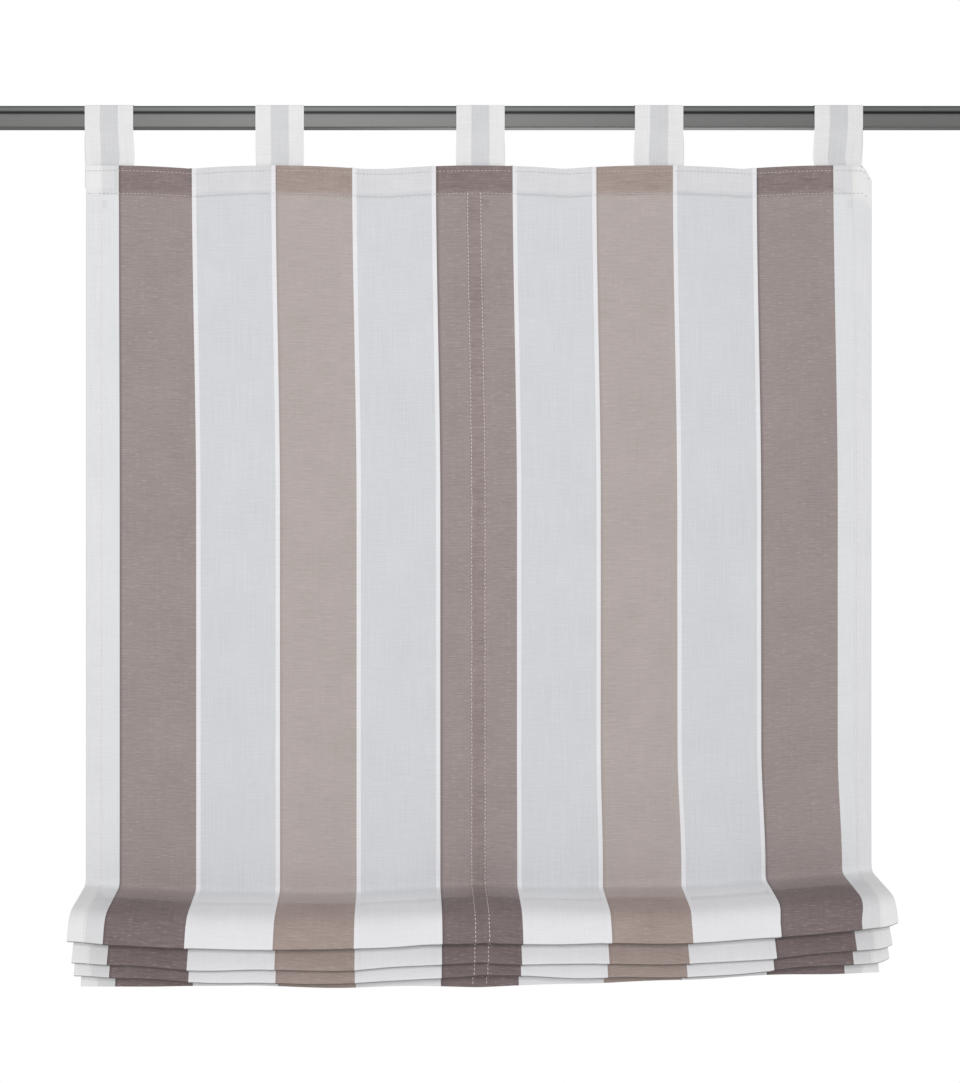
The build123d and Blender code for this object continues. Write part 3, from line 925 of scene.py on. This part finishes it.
def make_ring(node, body):
    """A moulded ring, held to its tape by a few wraps of thread."""
    low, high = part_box(node)
    centre = (low + high) / 2
    wire = (high.z - low.z) / 2
    outer = (high.x - low.x) / 2
    bpy.ops.object.select_all(action="DESELECT")
    bpy.ops.mesh.primitive_torus_add(
        location=centre, major_radius=outer - wire, minor_radius=wire, major_segments=28, minor_segments=10
    )
    ring = bpy.context.object
    for turn in WRAP_TURNS:
        place = centre + Vector((math.sin(turn), -math.cos(turn), 0)) * (outer - wire)
        bpy.ops.mesh.primitive_torus_add(
            location=place,
            rotation=(0, math.pi / 2, turn),
            major_radius=wire + WRAP_RADIUS,
            minor_radius=WRAP_RADIUS,
            major_segments=12,
            minor_segments=6,
        )
        wrap = bpy.context.object
        wrap.data.materials.append(stitch_thread)
        ring.select_set(True)
        bpy.context.view_layer.objects.active = ring
        if not ring.data.materials:
            ring.data.materials.append(ring_finish)
        bpy.ops.object.join()
        bpy.ops.object.select_all(action="DESELECT")
    ring.select_set(True)
    bpy.ops.object.transform_apply(location=True, rotation=True, scale=True)
    ring.name = f"sewn_{node}"
    ring.data.name = ring.name
    bpy.ops.object.shade_smooth()
    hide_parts(node)
    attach(ring, body)
    return ring


def tube(name, centres, radius, material, sides=10):
    """A closed tube round a list of centres."""
    points, faces = [], []
    for index, centre in enumerate(centres):
        along = (centres[min(index + 1, len(centres) - 1)] - centres[max(index - 1, 0)]).normalized()
        across = Vector((1, 0, 0))
        up = along.cross(across).normalized()
        for side in range(sides):
            angle = 2 * math.pi * side / sides
            points.append(centre + (across * math.cos(angle) + up * math.sin(angle)) * radius)
    for index in range(len(centres) - 1):
        for side in range(sides):
            a = index * sides + side
            b = index * sides + (side + 1) % sides
            faces.append((a, b, b + sides, a + sides))
    faces.append(tuple(reversed(range(sides))))
    faces.append(tuple(range(len(points) - sides, len(points))))
    return mesh_piece(name, points, faces, [material])


def make_lift_cord(side):
    """The lift cord: a knot above the stopper, a tight run through the rings, and a knotted hook."""
    name = f"lift_cord_{side}"
    low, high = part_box(name)
    x = (low.x + high.x) / 2
    ring_low, ring_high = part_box(f"stack_ring_{side}_4")
    ring_y = (ring_low.y + ring_high.y) / 2
    hook = (high.y - KNOT_RADIUS - ring_y) / 2
    hook_z = low.z + CORD_RADIUS + hook
    top = high.z
    centres = [
        Vector((x, ring_y, top + (hook_z - top) * step / CORD_RUN_STEPS)) for step in range(CORD_RUN_STEPS)
    ]
    for step in range(HOOK_STEPS + 1):
        angle = math.pi * step / HOOK_STEPS
        centres.append(Vector((x, ring_y + hook - hook * math.cos(angle), hook_z - hook * math.sin(angle))))
    for step in range(1, LEG_STEPS + 1):
        centres.append(Vector((x, ring_y + 2 * hook, hook_z + HOOK_LEG * step / LEG_STEPS)))
    cord = tube(f"blind_lift_cord_{side}", centres, CORD_RADIUS, cord_braid)
    knots = []
    for y, z in ((ring_y, top - KNOT_RADIUS), (ring_y + 2 * hook, hook_z + HOOK_LEG - KNOT_DROP)):
        for turn in (-1, 1):
            bpy.ops.object.select_all(action="DESELECT")
            bpy.ops.mesh.primitive_torus_add(
                location=(x, y, z + turn * KNOT_SPREAD),
                rotation=(0.5 * turn, 0.3, 0),
                major_radius=KNOT_LOOP,
                minor_radius=CORD_RADIUS,
                major_segments=16,
                minor_segments=8,
            )
            bpy.context.object.data.materials.append(cord_braid)
            bpy.ops.object.shade_smooth()
            knots.append(bpy.context.object)
    bpy.ops.object.select_all(action="DESELECT")
    for piece in (*knots, cord):
        piece.select_set(True)
    bpy.context.view_layer.objects.active = cord
    bpy.ops.object.join()
    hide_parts(name)
    return cord


# Build

cloth = make_cloth()
moving = [cloth, *make_stitches()]
for side in SIDES:
    moving.append(make_tape(side))
    moving.append(make_lift_cord(side))
for piece in moving:
    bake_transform(piece)
for number in range(1, 6):
    make_tab(number)
for body, nodes in frame["record"]["behaviour"]["bodies"].items():
    for node in nodes:
        if "ring_" in node and "tape" not in node and "spring" not in node:
            make_ring(node, body)

finishes = {
    "rail": rail_finish,
    "rail_end_cap": cap_finish,
    "wall_bracket": bracket_finish,
    "set_screw": bracket_finish,
    "stopper_barrel": stopper_finish,
    "stopper_plunger": stopper_finish,
    "stopper_spring": spring_finish,
}
for node, piece in frame["nodes"].items():
    names = [start for start in finishes if node.startswith(start)]
    if names:
        piece.data.materials.clear()
        piece.data.materials.append(finishes[max(names, key=len)])


# Floor, light and camera

VIEW_HEIGHT = 1.1025
VIEW_DISTANCE = 1.2
SENSOR = 24.0
PICTURE_HEIGHT = 1083
OPTICAL_OFFSET = 75
ROOM_LIGHT = 0.5
FLOOR_PLACE = (0, -0.75, -1.45)
FLOOR_SIZE = (3.4, 3.2, 1)
LIT_POINT = (0, 0, -0.5)

bpy.ops.object.select_all(action="DESELECT")
bpy.ops.mesh.primitive_plane_add(size=1, location=FLOOR_PLACE)
floor = bpy.context.object
floor.name = "floor"
floor.scale = FLOOR_SIZE
bpy.ops.object.transform_apply(location=True, rotation=True, scale=True)
floor_finish, floor_tree = new_material("pale_matt_floor")
floor_shader = add_node(floor_tree, "ShaderNodeBsdfPrincipled", Base_Color=linear("#f2f2f0"), Roughness=0.9)
finish_material(floor_tree, floor_shader.outputs[0])
floor.data.materials.append(floor_finish)

world = bpy.data.worlds.new("soft_white_room")
bpy.context.scene.world = world
world.use_nodes = True
seen = add_node(world.node_tree, "ShaderNodeLightPath").outputs["Is Camera Ray"]
strength = add_node(world.node_tree, "ShaderNodeMapRange", Value=seen, To_Min=ROOM_LIGHT, To_Max=1.0)
background = world.node_tree.nodes["Background"]
background.inputs["Color"].default_value = (1, 1, 1, 1)
world.node_tree.links.new(strength.outputs[0], background.inputs["Strength"])


def softbox(name, place, target, size, power):
    """A square area light that faces its target."""
    light = bpy.data.lights.new(name, "AREA")
    light.size = size
    light.energy = power
    lamp = bpy.data.objects.new(name, light)
    lamp.location = place
    lamp.rotation_euler = (Vector(target) - Vector(place)).to_track_quat("-Z", "Y").to_euler()
    bpy.context.scene.collection.objects.link(lamp)


softbox("front", (-0.25, -2.4, 0.16), LIT_POINT, 0.5, 29)
softbox("back", (0.5, 2.2, -0.3), LIT_POINT, 1.2, 17)

camera_data = bpy.data.cameras.new("camera")
camera_data.sensor_fit = "VERTICAL"
camera_data.sensor_height = SENSOR
camera_data.lens = SENSOR * VIEW_DISTANCE / VIEW_HEIGHT
camera_data.shift_x = OPTICAL_OFFSET / PICTURE_HEIGHT
camera_data.clip_start = 0.05
camera = bpy.data.objects.new("camera", camera_data)
camera.location = CAMERA_PLACE
camera.rotation_euler = (math.pi / 2, 0, 0)
bpy.context.scene.collection.objects.link(camera)
bpy.context.scene.camera = camera
bpy.context.scene.view_settings.view_transform = "Standard"
